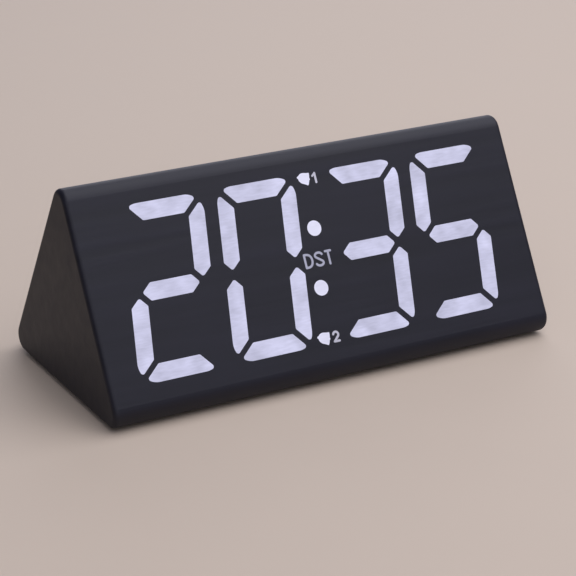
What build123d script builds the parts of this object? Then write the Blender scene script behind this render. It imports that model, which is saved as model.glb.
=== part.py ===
from build123d import *
import math
import os

# A tent-shaped desk clock with a large digit display on its front face.
# Frame: origin on the standing surface under the middle, X along the tent, front towards -Y, Z up.
# Lengths are in millimetres, angles in degrees. On a face, depth is counted inwards from its surface.

# Display digits, drawn on the front face
digit_height = 51.6
digit_width = 26.3
stroke = 5.25
segment_gap = 1.8
digit_corner_radius = 5.6
segment_tip_radius = 0.75
digit_lean = 8.1
digit_space = 4.4
colon_space = 9.7
display_rise = 0.6
colon_rise = 8.95
colon_radius = 2.35
alarm_drop = 1.8
alarm_shift = 0.3
alarm_window_space = 0.65
alarm_window_height = 5.4
alarm_window_corner_radius = 0.8
season_window_reach = 0.25
season_window_height = 5.0
season_window_shift = 0.1
season_window_drop = 0.4
season_window_corner_radius = 1.6

# Which segments are lit: the clock reads 20:35
digits = ["hour_tens", "hour_units", "minute_tens", "minute_units"]
lit_letters = ["abged", "abcdef", "abgcd", "afgcd"]

# Housing
side_margin = 9.48
face_margin = 4.5
face_slope = 60.0
corner_radius = 4.75
end_edge_radius = 1.6
wall = 2.5
seam = 0.1
split_depth = 9.0
overrun = 1.0
touching = 0.01
smooth_turn_share = 0.1

# Lip of the rear cover, hooked under the ridge
lip_length = 118.0
lip_thickness = 1.0
lip_reach = 2.0
lip_root = 2.5

# Rubber feet
foot_stand = 0.75
foot_recess = 1.0
foot_radius = 5.0
foot_clearance = 0.15
foot_edge_radius = 0.4
foot_end_margin = 14.0
foot_side_margin = 8.5

# Reflector frame, display board and what it carries
reflector_thickness = 6.0
reflector_rim = 1.3
board_thickness = 1.6
board_end_clearance = 0.5
display_board_inset = 0.6
led_length = 2.0
led_width = 1.25
led_height = 0.8
led_spacing = 11.0
driver_length = 10.3
driver_width = 7.5
driver_height = 2.3
driver_inset = 39.0
driver_y = -4.0

# Round posts that carry the boards, and the small screws in them
post_radius = 2.5
post_bite = 0.3
display_post_inset = 7.0
board_screw_radius = 1.0
board_screw_length = 5.0
board_screw_head_radius = 1.9
board_screw_head_height = 1.3
screw_clearance = 0.05
hole_clearance = 0.3
pilot_spare = 0.8
recess_width = 0.55
recess_share = 0.62
recess_depth = 0.7
crown_share = 0.35

# Screws that hold the rear cover, and their bosses
cover_screw_radius = 1.3
cover_screw_length = 8.0
cover_screw_head_radius = 2.5
cover_screw_head_height = 1.9
cover_screw_seat = 2.2
cup_radius = 3.9
cup_top = 4.2
boss_radius = 3.2
boss_cap = 1.5
boss_offset = 4.2
boss_inset = 17.3
boss_rib = 2.4

# Control board behind the rear wall
control_space = 6.0
control_board_length = 116.0
control_board_bottom_margin = 4.1
control_post_inset = 4.0

# Push buttons, from left to right as seen from behind, and the switches under them
button_names = ["time_set", "alarm_1", "alarm_2", "down", "up", "summer_time"]
button_pitch = 14.0
button_inset = 4.6
button_space = 0.7
button_radius = 4.0
button_proud = 1.2
button_clearance = 0.15
button_edge_radius = 0.4
button_dish = 0.25
button_flange = 0.8
button_flange_thickness = 0.8
button_stem_radius = 1.5
button_travel = 0.5
play = 0.05
switch_width = 6.0
switch_height = 2.5
plunger_radius = 1.7
plunger_height = 0.8

# Lower row of the rear face: buzzer grille, battery door, dimmer and power socket
lower_row_rise = 10.0
buzzer_inset = 16.0
buzzer_radius = 6.0
buzzer_height = 4.8
buzzer_hole_radius = 1.0
grille_rings = 2
grille_pitch = 2.5
grille_hole_radius = 0.7
dimmer_travel = 1.5
dimmer_knob_width = 3.4
dimmer_knob_height = 2.8
dimmer_clearance = 0.15
dimmer_plate_cover = 0.3
dimmer_plate_height = 5.2
dimmer_plate_thickness = 0.8
dimmer_lever_width = 2.0
dimmer_switch_length = 8.6
dimmer_switch_width = 4.4
dimmer_switch_height = 3.4
knob_ridge_radius = 0.3
socket_inset = 11.0
socket_width = 8.94
socket_thickness = 3.16
socket_skin = 0.3
socket_recess = 0.5
socket_clearance = 0.2
socket_base = 2.3
tongue_width = 6.7
tongue_thickness = 0.7
tongue_recess = 0.8

# Battery door with its moulded pivots, and the coin cell behind it
door_width = 29.0
door_thickness = 2.0
door_margin = 3.6
door_gap = 0.2
door_corner_radius = 2.0
barrel_radius = 1.2
pivot_radius = 0.7
pivot_length = 1.5
pivot_clearance = 0.06
ledge = 1.2
pad_rim = 1.8
pad_depth = 4.2
well_wall = 1.2
ear_radius = 3.4
ear_offset = 1.0
door_screw_length = 3.0
door_screw_slack = 0.5
door_boss_depth = 6.5
cell_radius = 10.0
cell_thickness = 3.2
cell_edge_radius = 0.4
cell_clearance = 0.15
holder_wall = 0.75
holder_space = 0.15
holder_floor = 2.1
holder_lip = 1.0
holder_notch = 8.0

# Electronics on the inner side of the control board
controller_side = 10.0
controller_height = 1.5
controller_inset = 36.0
controller_y = -4.0
capacitor_radius = 3.15
capacitor_height = 7.0
capacitor_inset = 28.0
capacitor_y = -12.0
crystal_radius = 1.0
crystal_length = 6.0
crystal_inset = 20.0
crystal_y = -4.0
connector_length = 16.0
connector_width = 5.0
connector_height = 4.0
connector_y = -12.0
ribbon_width = 13.0
ribbon_thickness = 0.5
ribbon_bend = 9.0

# Worked out from the sizes above
slope = math.radians(face_slope)
slope_sin = math.sin(slope)
slope_cos = math.cos(slope)
lean = math.tan(math.radians(digit_lean))
display_half_length = colon_space / 2 + 2 * digit_width + digit_space + lean * digit_height / 2
clock_length = 2 * (display_half_length + side_margin)
inner_length = clock_length - 2 * wall
flat_length = digit_height + 2 * face_margin
centre_rise = flat_length * slope_sin
half_base = flat_length * slope_cos
body_height = centre_rise + 2 * corner_radius
face_y = half_base / 2 + corner_radius * slope_sin
face_z = foot_stand + corner_radius + centre_rise / 2 + corner_radius * slope_cos
alarm_rise = digit_height / 2 - alarm_drop
alarm_window_width = colon_space - 2 * alarm_window_space
season_window_width = colon_space + 2 * season_window_reach
inner_digit_x = (colon_space + digit_width) / 2
outer_digit_x = inner_digit_x + digit_width + digit_space
digit_places = [-outer_digit_x, -inner_digit_x, inner_digit_x, outer_digit_x]

front = Plane(origin=(0, -face_y, face_z), x_dir=(1, 0, 0), z_dir=(0, -slope_sin, slope_cos)).location
rear = Plane(origin=(0, face_y, face_z), x_dir=(-1, 0, 0), z_dir=(0, slope_sin, slope_cos)).location
under = Plane(origin=(0, 0, foot_stand), x_dir=(1, 0, 0), z_dir=(0, 0, -1)).location

display_board_depth = wall + reflector_thickness
display_board_back = display_board_depth + board_thickness
reflector_length = 2 * (display_half_length + reflector_rim)
reflector_height = 2 * (alarm_rise + reflector_rim) + alarm_window_height
display_board_length = inner_length - 2 * board_end_clearance
display_board_height = reflector_height - 2 * display_board_inset
driver_x = driver_inset - display_board_length / 2
display_post_x = inner_length / 2 - post_radius + post_bite
display_post_y = digit_height / 2 - display_post_inset

boss_x = inner_length / 2 - boss_offset
boss_y = half_base - boss_inset
boss_top = cover_screw_seat + cover_screw_length + pilot_spare + boss_cap
foot_x = clock_length / 2 - foot_end_margin
foot_y = half_base - foot_side_margin

holder_radius = cell_radius + holder_wall
door_bottom = door_margin - flat_length / 2
hinge_y = door_bottom + barrel_radius
well_bottom = door_bottom + 2 * barrel_radius + door_gap
well_top = well_bottom + 2 * (holder_radius + holder_space)
door_top = well_top + ledge
cell_y = (well_bottom + well_top) / 2
ear_y = door_top + ear_offset

# The keys on either side of the door's ear clear its rim
button_from_ear = ear_radius + well_wall + button_space + button_flange + button_radius
button_y = ear_y + math.sqrt(button_from_ear ** 2 - (button_pitch / 2) ** 2)
button_places = [(index - (len(button_names) - 1) / 2) * button_pitch
                 for index in range(len(button_names))]

control_board_depth = wall + control_space
control_board_back = control_board_depth + board_thickness
control_board_bottom = control_board_bottom_margin - flat_length / 2
control_board_top = button_y + button_inset
control_board_height = control_board_top - control_board_bottom
control_board_y = (control_board_bottom + control_board_top) / 2
control_post_x = control_board_length / 2 - control_post_inset
control_post_rows = [control_board_bottom + control_post_inset, control_board_top - control_post_inset]
lower_row_y = control_board_bottom + lower_row_rise
cell_depth = control_board_depth - holder_floor - cell_thickness
buzzer_x = buzzer_inset - control_board_length / 2
socket_x = control_board_length / 2 - socket_inset
dimmer_x = (door_width / 2 + socket_x) / 2
dimmer_slot_width = dimmer_knob_width + 2 * (dimmer_travel + dimmer_clearance)
dimmer_plate_width = dimmer_slot_width + 2 * (dimmer_travel + dimmer_plate_cover)
controller_x = controller_inset - control_board_length / 2
capacitor_x = control_board_length / 2 - capacitor_inset
crystal_x = crystal_inset - control_board_length / 2


def block(face, x, y, near, far, width, height):
    """Box on a face, from depth near to depth far."""
    return face * Pos(x, y, -(near + far) / 2) * Box(width, height, far - near)


def rod(face, x, y, near, far, radius):
    """Cylinder square to a face, from depth near to depth far."""
    return face * Pos(x, y, -(near + far) / 2) * Cylinder(radius, far - near)


def prism(face, outline, near, far):
    """A flat outline on a face, carried from depth near to depth far."""
    return face * Pos(0, 0, -far) * extrude(outline, amount=far - near, dir=(0, 0, 1))


def four_corners(x, y):
    """The four places at plus and minus x and y."""
    return [(side * x, end * y) for side in (-1, 1) for end in (-1, 1)]


def tent(inset, length):
    """The tent's rounded triangular section, drawn in by inset and carried along X."""
    triangle = Polygon((-half_base, corner_radius), (half_base, corner_radius),
                       (0, corner_radius + centre_rise))
    section = offset(triangle, corner_radius - inset)
    return extrude(Plane.YZ.location * Pos(0, foot_stand) * section, amount=length / 2, both=True)


def outer_body():
    """The whole outside of the housing, with softened end edges."""
    body = tent(0, clock_length)
    ends = body.faces().sort_by(Axis.X)
    return fillet(ends[0].edges() + ends[-1].edges(), end_edge_radius)


def leaned(points):
    """Upright digit points, leaned over to the right as they rise."""
    return [(x + lean * y, y) for x, y in points]


def sharp_corners(outline):
    """The vertices of a flat outline where its edges don't run on smoothly."""
    corners = []
    for vertex in outline.vertices():
        tangents = []
        for edge in outline.edges():
            for end in (0, 1):
                if (edge.position_at(end) - vertex.center()).length < touching:
                    tangents.append(edge.tangent_at(end))
        if tangents[0].cross(tangents[1]).length > smooth_turn_share:
            corners.append(vertex)
    return corners


def segment_outlines():
    """The seven segments of one digit about its centre, by their usual letters."""
    half_w = digit_width / 2
    half_h = digit_height / 2
    mitre = segment_gap / math.sqrt(2)
    mid = half_w - stroke / 2
    top = [(mitre - half_w, half_h), (half_w - mitre, half_h),
           (half_w - mitre - stroke, half_h - stroke), (mitre + stroke - half_w, half_h - stroke)]
    right = [(half_w, half_h - mitre), (half_w, stroke / 2 + mitre), (mid, mitre),
             (half_w - stroke, stroke / 2 + mitre), (half_w - stroke, half_h - stroke - mitre)]
    bar = [(mid - mitre, 0), (mid - mitre - stroke / 2, stroke / 2),
           (mitre + stroke / 2 - mid, stroke / 2), (mitre - mid, 0),
           (mitre + stroke / 2 - mid, -stroke / 2), (mid - mitre - stroke / 2, -stroke / 2)]
    shapes = {
        "a": top,
        "b": right,
        "c": [(x, -y) for x, y in right],
        "d": [(x, -y) for x, y in top],
        "e": [(-x, -y) for x, y in right],
        "f": [(-x, y) for x, y in right],
        "g": bar,
    }
    frame = Polygon(*leaned([(-half_w, -half_h), (half_w, -half_h), (half_w, half_h), (-half_w, half_h)]),
                    align=None)
    frame = fillet(frame.vertices(), digit_corner_radius)
    outlines = {}
    for letter, points in shapes.items():
        outline = Polygon(*leaned(points), align=None) & frame
        outlines[letter] = fillet(sharp_corners(outline), segment_tip_radius)
    return outlines


def segment_lights(letter):
    """The places of a segment's two LEDs about the digit's centre."""
    row = {"a": 1, "g": 0, "d": -1}
    column = {"b": (1, 1), "c": (1, -1), "e": (-1, -1), "f": (-1, 1)}
    half = led_spacing / 2
    if letter in row:
        y = row[letter] * (digit_height - stroke) / 2
        return leaned([(-half, y), (half, y)])
    side, level = column[letter]
    x = side * (digit_width - stroke) / 2
    y = level * digit_height / 4
    return leaned([(x, y - half), (x, y + half)])


def small_windows():
    """The round colon windows and the three rounded indicator windows, by node name."""
    colon = [Pos(lean * rise, rise) * Circle(colon_radius) for rise in (colon_rise, -colon_rise)]
    bells = [Pos(lean * rise + alarm_shift, rise)
             * RectangleRounded(alarm_window_width, alarm_window_height, alarm_window_corner_radius)
             for rise in (alarm_rise, -alarm_rise)]
    season = (Pos(season_window_shift, -season_window_drop)
              * RectangleRounded(season_window_width, season_window_height, season_window_corner_radius))
    return {
        "colon_windows": colon,
        "alarm_1_window": [bells[0]],
        "alarm_2_window": [bells[1]],
        "summer_time_window": [season],
    }


def window_table():
    """Every window outline in its place on the front face, grouped by node name."""
    outlines = segment_outlines()
    windows = {}
    for name, place, lit in zip(digits, digit_places, lit_letters):
        for letter, outline in outlines.items():
            state = "lit" if letter in lit else "dark"
            moved = Pos(place, display_rise) * outline
            windows.setdefault(f"{name}_{state}_segments", []).append(moved)
    for name, group in small_windows().items():
        windows[name] = [Pos(0, display_rise) * outline for outline in group]
    return windows


def window_solids(outlines, near, far):
    """Window outlines cut or filled between two depths of the front face."""
    return [prism(front, outline, near, far) for outline in outlines]


def cross_screw(radius, length, head_radius, head_height):
    """A round-headed screw about its seat, its head upwards, with a cross recess."""
    head = Pos(0, 0, head_height / 2) * Cylinder(head_radius, head_height)
    head = fillet(head.edges().group_by(Axis.Z)[-1], head_height * crown_share)
    shank = Pos(0, 0, -length / 2) * Cylinder(radius, length)
    long_side = 2 * head_radius * recess_share
    lift = Pos(0, 0, head_height)
    slots = [lift * Box(long_side, recess_width, 2 * recess_depth),
             lift * Box(recess_width, long_side, 2 * recess_depth)]
    return head + shank - slots


def front_housing(outer, windows):
    """Front wall, ridge and both end walls, with window holes, board posts and screw bosses."""
    body = outer - tent(wall, inner_length)
    body -= block(front, 0, 0, split_depth, split_depth + body_height, inner_length, 2 * body_height)
    for x, y in four_corners(display_post_x, display_post_y):
        body += rod(front, x, display_rise + y, wall - post_bite, display_board_depth, post_radius)
    for x, y in four_corners(boss_x, boss_y):
        rib_x = x + math.copysign(boss_offset + post_bite, x) / 2
        body += rod(under, x, y, cup_top + seam, boss_top, boss_radius)
        body += block(under, rib_x, y, cup_top + seam, boss_top, boss_offset + post_bite, boss_rib)
    for x, y in four_corners(display_post_x, display_post_y):
        deep = display_board_back - board_screw_length - pilot_spare
        body -= rod(front, x, display_rise + y, deep, display_board_depth + overrun,
                    board_screw_radius + screw_clearance)
    for x, y in four_corners(boss_x, boss_y):
        deep = cover_screw_seat + cover_screw_length + pilot_spare
        body -= rod(under, x, y, cup_top - overrun, deep, cover_screw_radius + screw_clearance)
    cuts = []
    for outlines in windows.values():
        cuts += window_solids(outlines, -overrun, wall + overrun)
    return body - cuts


def reflector_frame(windows):
    """White frame behind the front wall, with one well behind each window."""
    outline = Pos(0, display_rise) * Rectangle(reflector_length, reflector_height)
    body = prism(front, outline, wall, display_board_depth)
    wells = []
    for outlines in windows.values():
        wells += window_solids(outlines, wall - overrun, display_board_depth + overrun)
    return body - wells


def display_board():
    """Display circuit board, clear of the end walls, with holes for its four screws."""
    body = block(front, 0, display_rise, display_board_depth, display_board_back,
                 display_board_length, display_board_height)
    for x, y in four_corners(display_post_x, display_post_y):
        body -= rod(front, x, display_rise + y, display_board_depth - overrun,
                    display_board_back + overrun, board_screw_radius + hole_clearance)
    return body


def led_places():
    """Every LED's place on the display board: two behind a segment and one behind a window."""
    places = []
    for place in digit_places:
        for letter in "abcdefg":
            places += [(place + x, y) for x, y in segment_lights(letter)]
    for rise in (colon_rise, -colon_rise, alarm_rise, -alarm_rise):
        places.append((lean * rise, rise))
    places.append((season_window_shift, -season_window_drop))
    return places


def segment_leds():
    """Small LED chips on the front of the display board, each in its well."""
    near = display_board_depth - led_height
    return [block(front, x, display_rise + y, near, display_board_depth, led_length, led_width)
            for x, y in led_places()]


def board_screws(face, places, seat):
    """Screws that hold a board on its posts, their heads on the board's inner side."""
    screw = cross_screw(board_screw_radius, board_screw_length,
                        board_screw_head_radius, board_screw_head_height)
    return [face * Pos(x, y, -seat) * Rot(180, 0, 0) * screw for x, y in places]


def connector(face, depth):
    """Plug connector on the inner side of a board."""
    return block(face, 0, connector_y, depth, depth + connector_height,
                 connector_length, connector_width)


def ribbon_cable():
    """Flat ribbon between the two connectors, hanging in one round bend."""
    front_out = display_board_back + connector_height
    rear_out = control_board_back + connector_height
    front_end = front * Pos(0, connector_y, -front_out)
    rear_end = rear * Pos(0, connector_y, -rear_out)
    start = front_end.position
    finish = rear_end.position
    across = (finish.Y - start.Y) / slope_sin
    down = (start.Z - finish.Z) / slope_cos
    reach = (across + down) / 2
    lowest = (start.Y + reach * slope_sin, start.Z - reach * slope_cos)
    path = FilletPolyline((start.Y, start.Z), lowest, (finish.Y, finish.Z), radius=ribbon_bend)
    band = trace(path, ribbon_thickness)
    return extrude(Plane.YZ.location * band, amount=ribbon_width / 2, both=True)


def door_outline(spare):
    """Outline of the battery door with its screw ear, grown by spare on every free side."""
    plate_height = door_top - hinge_y
    plate = Pos(0, hinge_y + plate_height / 2) * RectangleRounded(
        door_width + 2 * spare, plate_height + 2 * spare, door_corner_radius + spare)
    foot = Pos(0, hinge_y + plate_height / 4) * Rectangle(door_width + 2 * spare, plate_height / 2)
    ear = Pos(0, ear_y) * Circle(ear_radius + spare)
    return plate + foot + ear


def along_x(face, x, y, depth, radius, length):
    """Cylinder along X under a face, its axis at the given depth."""
    return face * Pos(x, y, -depth) * Rot(0, 90, 0) * Cylinder(radius, length)


def battery_door():
    """Flush door with a round lower edge, a pivot at each end of it and a screw ear."""
    body = prism(rear, door_outline(0), 0, door_thickness)
    below = hinge_y - barrel_radius
    body -= block(rear, 0, below, -overrun, door_thickness + overrun, 2 * door_width, 2 * barrel_radius)
    body += along_x(rear, 0, hinge_y, barrel_radius, barrel_radius, door_width)
    body += along_x(rear, 0, hinge_y, barrel_radius, pivot_radius, door_width + 2 * pivot_length)
    body -= rod(rear, 0, ear_y, -overrun, door_thickness + overrun, board_screw_radius + hole_clearance)
    seat = board_screw_head_height * crown_share
    body -= rod(rear, 0, ear_y, -overrun, seat, board_screw_head_radius + hole_clearance)
    return body


def battery_door_screw():
    """Captive screw in the door's ear."""
    seat = board_screw_head_height * crown_share
    screw = cross_screw(board_screw_radius, door_screw_length + door_thickness - seat,
                        board_screw_head_radius, board_screw_head_height)
    return rear * Pos(0, ear_y, -seat) * screw


def battery_well():
    """Rim, walls and screw boss that stand inside the rear wall round the coin cell."""
    pocket_width = door_width + 2 * (door_gap + pad_rim)
    pad_bottom = door_bottom - door_gap - pad_rim
    pad_top = door_top + door_gap + pad_rim
    well_width = door_width - 2 * ledge
    outer_width = well_width + 2 * well_wall
    well_y = (well_bottom + well_top) / 2
    outer_height = well_top - well_bottom + 2 * well_wall
    body = block(rear, 0, (pad_bottom + pad_top) / 2, wall - post_bite, pad_depth,
                 pocket_width, pad_top - pad_bottom)
    body += rod(rear, 0, ear_y, wall - post_bite, pad_depth, ear_radius + well_wall)
    body += rod(rear, 0, ear_y, wall - post_bite, door_boss_depth,
                board_screw_radius + door_screw_slack + well_wall)
    body += block(rear, 0, well_y, wall - post_bite, control_board_depth - seam, outer_width, outer_height)
    return body


def battery_well_cuts():
    """Pocket for the door, its hinge trough and pivot holes, the cell's space and the screw hole."""
    well_width = door_width - 2 * ledge
    pocket = prism(rear, door_outline(door_gap), -overrun, door_thickness + play)
    trough_y = door_bottom + barrel_radius
    trough = block(rear, 0, trough_y, -overrun, 2 * barrel_radius + door_gap,
                   door_width + 2 * door_gap, 2 * (barrel_radius + door_gap))
    space = block(rear, 0, (well_bottom + well_top) / 2, 0, control_board_depth,
                  well_width, well_top - well_bottom)
    pivots = along_x(rear, 0, hinge_y, barrel_radius, pivot_radius + pivot_clearance,
                     door_width + 2 * (pivot_length + door_gap))
    screw_space = rod(rear, 0, ear_y, 0, door_boss_depth + overrun, board_screw_radius + door_screw_slack)
    return [pocket, trough, space, pivots, screw_space]


def grille_places():
    """Rings of sound holes: one in the middle, then six more in each ring outwards."""
    places = [(0, 0)]
    for ring in range(1, grille_rings + 1):
        count = 6 * ring
        for index in range(count):
            angle = 2 * math.pi * index / count
            places.append((ring * grille_pitch * math.cos(angle), ring * grille_pitch * math.sin(angle)))
    return places


def socket_outline(spare):
    """Rounded outline of the power socket, grown by spare."""
    height = socket_thickness + 2 * spare
    return Pos(socket_x, lower_row_y) * SlotOverall(socket_width + 2 * spare, height)


def rear_cover(outer):
    """Rear wall and underside in one shell, with everything that is moulded on them."""
    body = outer - tent(wall, inner_length)
    body &= block(front, 0, 0, split_depth + seam, split_depth + body_height,
                  inner_length - 2 * seam, 2 * body_height)
    body += cover_lip()
    body += battery_well()
    for x, y in four_corners(boss_x, boss_y):
        body += rod(under, x, y, wall - post_bite, cup_top, cup_radius)
    posts = [(side * control_post_x, y) for side in (-1, 1) for y in control_post_rows]
    for x, y in posts:
        body += rod(rear, x, y, wall - post_bite, control_board_depth, post_radius)
    cuts = battery_well_cuts()
    for x, y in posts:
        deep = control_board_back - board_screw_length - pilot_spare
        cuts.append(rod(rear, x, y, deep, control_board_depth + overrun,
                        board_screw_radius + screw_clearance))
    for x, y in four_corners(boss_x, boss_y):
        cuts.append(rod(under, x, y, -overrun, cover_screw_seat,
                        cover_screw_head_radius + hole_clearance))
        cuts.append(rod(under, x, y, 0, cup_top + overrun, cover_screw_radius + hole_clearance))
    for x, y in four_corners(foot_x, foot_y):
        cuts.append(rod(under, x, y, -overrun, foot_recess, foot_radius + foot_clearance))
    for x in button_places:
        cuts.append(rod(rear, x, button_y, -overrun, wall + overrun, button_radius + button_clearance))
    for x, y in grille_places():
        cuts.append(rod(rear, buzzer_x + x, lower_row_y + y, -overrun, wall + overrun, grille_hole_radius))
    slot_height = dimmer_knob_height + 2 * dimmer_clearance
    cuts.append(block(rear, dimmer_x, lower_row_y, -overrun, wall + overrun,
                      dimmer_slot_width, slot_height))
    cuts.append(prism(rear, socket_outline(socket_clearance), -overrun, wall + overrun))
    return body - cuts


def cover_lip():
    """Tongue along the cover's top edge that hooks under the ridge."""
    deepest = wall + seam + lip_thickness
    span = 2 * slope_sin * slope_cos
    offset_at_wall = wall * (slope_sin ** 2 - slope_cos ** 2)
    edge_y = (2 * face_y * slope_sin - offset_at_wall - split_depth) / span
    root = block(rear, 0, edge_y - lip_root, wall - post_bite, deepest, lip_length, lip_root)
    tongue = block(rear, 0, edge_y, wall + seam, deepest, lip_length, 2 * lip_reach)
    return root + tongue


def control_board():
    """Control circuit board on four posts behind the rear wall."""
    body = block(rear, 0, control_board_y, control_board_depth, control_board_back,
                 control_board_length, control_board_height)
    for side in (-1, 1):
        for y in control_post_rows:
            body -= rod(rear, side * control_post_x, y, control_board_depth - overrun,
                        control_board_back + overrun, board_screw_radius + hole_clearance)
    return body


def push_button(x):
    """Round key cap with a shallow dish, a flange behind the wall and a stem over its switch."""
    flange_far = wall + seam + button_flange_thickness
    stem_far = control_board_depth - switch_height - plunger_height - button_travel - play
    cap = rod(rear, x, button_y, -button_proud, flange_far, button_radius)
    top = cap.edges().filter_by(GeomType.CIRCLE).sort_by(rear_height)[-1]
    cap = fillet(top, button_edge_radius)
    dish_radius = (button_radius ** 2 + button_dish ** 2) / (2 * button_dish)
    cap -= rear * Pos(x, button_y, button_proud + dish_radius - button_dish / 2) * Sphere(dish_radius)
    cap += rod(rear, x, button_y, wall + seam, flange_far, button_radius + button_flange)
    return cap + rod(rear, x, button_y, flange_far, stem_far, button_stem_radius)


def rear_height(shape):
    """How far out of the rear face a shape's middle lies."""
    middle = shape.center()
    return middle.Y * slope_sin + middle.Z * slope_cos


def tact_switches():
    """One square switch with a round plunger under each key."""
    body_near = control_board_depth - switch_height
    switches = []
    for x in button_places:
        body = block(rear, x, button_y, body_near, control_board_depth, switch_width, switch_width)
        body += rod(rear, x, button_y, body_near - plunger_height, body_near, plunger_radius)
        switches.append(body)
    return switches


def dimmer_switch():
    """Body of the slide switch that sets the display's brightness."""
    return block(rear, dimmer_x, lower_row_y, control_board_depth - dimmer_switch_height,
                 control_board_depth, dimmer_switch_length, dimmer_switch_width)


def dimmer_knob():
    """Ridged knob in its slot, with a plate behind the wall and a lever down to the switch."""
    plate_far = wall + seam + dimmer_plate_thickness
    lever_far = control_board_depth - dimmer_switch_height - play
    body = block(rear, dimmer_x, lower_row_y, -button_proud, plate_far,
                 dimmer_knob_width, dimmer_knob_height)
    body += block(rear, dimmer_x, lower_row_y, wall + seam, plate_far,
                  dimmer_plate_width, dimmer_plate_height)
    body += block(rear, dimmer_x, lower_row_y, plate_far, lever_far,
                  dimmer_lever_width, dimmer_lever_width)
    for step in (-1, 0, 1):
        x = dimmer_x + step * dimmer_knob_width / 4
        body -= (rear * Pos(x, lower_row_y, button_proud) * Rot(90, 0, 0)
                 * Cylinder(knob_ridge_radius, dimmer_knob_height + 2 * overrun))
    return body


def buzzer():
    """Round piezo buzzer behind the grille, with its sound hole."""
    near = control_board_depth - buzzer_height
    body = rod(rear, buzzer_x, lower_row_y, near, control_board_depth, buzzer_radius)
    return body - rod(rear, buzzer_x, lower_row_y, near - overrun, near + overrun, buzzer_hole_radius)


def socket_shell():
    """Upright metal shell of the power socket, its mouth just inside the rear face."""
    body = prism(rear, socket_outline(0), socket_recess, control_board_depth)
    return body - prism(rear, socket_outline(-socket_skin), socket_recess - overrun,
                        control_board_depth + overrun)


def socket_tongue():
    """Insulating base inside the shell and the flat contact tongue that stands on it."""
    near = control_board_depth - socket_base
    body = prism(rear, socket_outline(-socket_skin), near, control_board_depth)
    return body + block(rear, socket_x, lower_row_y, socket_recess + tongue_recess, near,
                        tongue_width, tongue_thickness)


def coin_cell_holder():
    """Round cup on the control board, with a finger notch in its wall."""
    near = cell_depth + holder_lip
    body = rod(rear, 0, cell_y, near, control_board_depth, holder_radius)
    body -= rod(rear, 0, cell_y, near - overrun, cell_depth + cell_thickness, cell_radius + cell_clearance)
    notch = block(rear, cell_radius, cell_y, near - overrun, cell_depth + cell_thickness,
                  2 * holder_wall + cell_radius, holder_notch)
    return body - notch


def coin_cell():
    """Flat round backup cell."""
    body = rod(rear, 0, cell_y, cell_depth, cell_depth + cell_thickness, cell_radius)
    return fillet(body.edges().filter_by(GeomType.CIRCLE), cell_edge_radius)


def cover_screws():
    """Four screws up through the underside into the end walls' bosses."""
    screw = cross_screw(cover_screw_radius, cover_screw_length,
                        cover_screw_head_radius, cover_screw_head_height)
    return [under * Pos(x, y, -cover_screw_seat) * screw for x, y in four_corners(boss_x, boss_y)]


def rubber_feet():
    """Four round feet glued into their recesses."""
    foot = Pos(0, 0, (foot_stand - foot_recess) / 2) * Cylinder(foot_radius, foot_stand + foot_recess)
    foot = fillet(foot.edges().group_by(Axis.Z)[-1], foot_edge_radius)
    return [under * Pos(x, y) * foot for x, y in four_corners(foot_x, foot_y)]


def control_side(x, y, height, length, width):
    """Box-shaped component on the inner side of the control board."""
    return block(rear, x, y, control_board_back, control_board_back + height, length, width)


def build():
    """Every node of the clock by name."""
    outer = outer_body()
    windows = window_table()
    nodes = {
        "front_housing": front_housing(outer, windows),
        "rear_cover": rear_cover(outer),
        "reflector_frame": reflector_frame(windows),
        "display_board": display_board(),
        "segment_leds": segment_leds(),
        "display_driver": block(front, driver_x, driver_y, display_board_back,
                                display_board_back + driver_height, driver_length, driver_width),
        "display_connector": connector(front, display_board_back),
        "display_board_screws": board_screws(
            front, [(x, display_rise + y) for x, y in four_corners(display_post_x, display_post_y)],
            display_board_back),
        "ribbon_cable": ribbon_cable(),
        "control_board": control_board(),
        "control_connector": connector(rear, control_board_back),
        "control_board_screws": board_screws(
            rear, [(side * control_post_x, y) for side in (-1, 1) for y in control_post_rows],
            control_board_back),
        "microcontroller": control_side(controller_x, controller_y, controller_height,
                                        controller_side, controller_side),
        "power_capacitor": rod(rear, capacitor_x, capacitor_y, control_board_back,
                               control_board_back + capacitor_height, capacitor_radius),
        "clock_crystal": along_x(rear, crystal_x, crystal_y, control_board_back + crystal_radius,
                                 crystal_radius, crystal_length),
        "tact_switches": tact_switches(),
        "dimmer_switch": dimmer_switch(),
        "dimmer_knob": dimmer_knob(),
        "buzzer": buzzer(),
        "power_socket_shell": socket_shell(),
        "power_socket_tongue": socket_tongue(),
        "coin_cell_holder": coin_cell_holder(),
        "coin_cell": coin_cell(),
        "battery_door": battery_door(),
        "battery_door_screw": battery_door_screw(),
        "cover_screws": cover_screws(),
        "rubber_feet": rubber_feet(),
    }
    for name, outlines in windows.items():
        nodes[name] = window_solids(outlines, 0, wall)
    for name, x in zip(button_names, button_places):
        nodes[f"{name}_button"] = push_button(x)
    return nodes


def write_nodes(nodes):
    """One STEP file for each node, a group of solids as one compound."""
    os.makedirs("parts", exist_ok=True)
    for name, shape in nodes.items():
        if isinstance(shape, list):
            solids = [solid for piece in shape for solid in piece.solids()]
            shape = Compound(children=solids) if len(solids) > 1 else solids[0]
        export_step(shape, f"parts/{name}.step")


write_nodes(build())
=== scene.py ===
import math

import bmesh
import bpy
import numpy as np
from mathutils import Matrix, Vector


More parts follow.
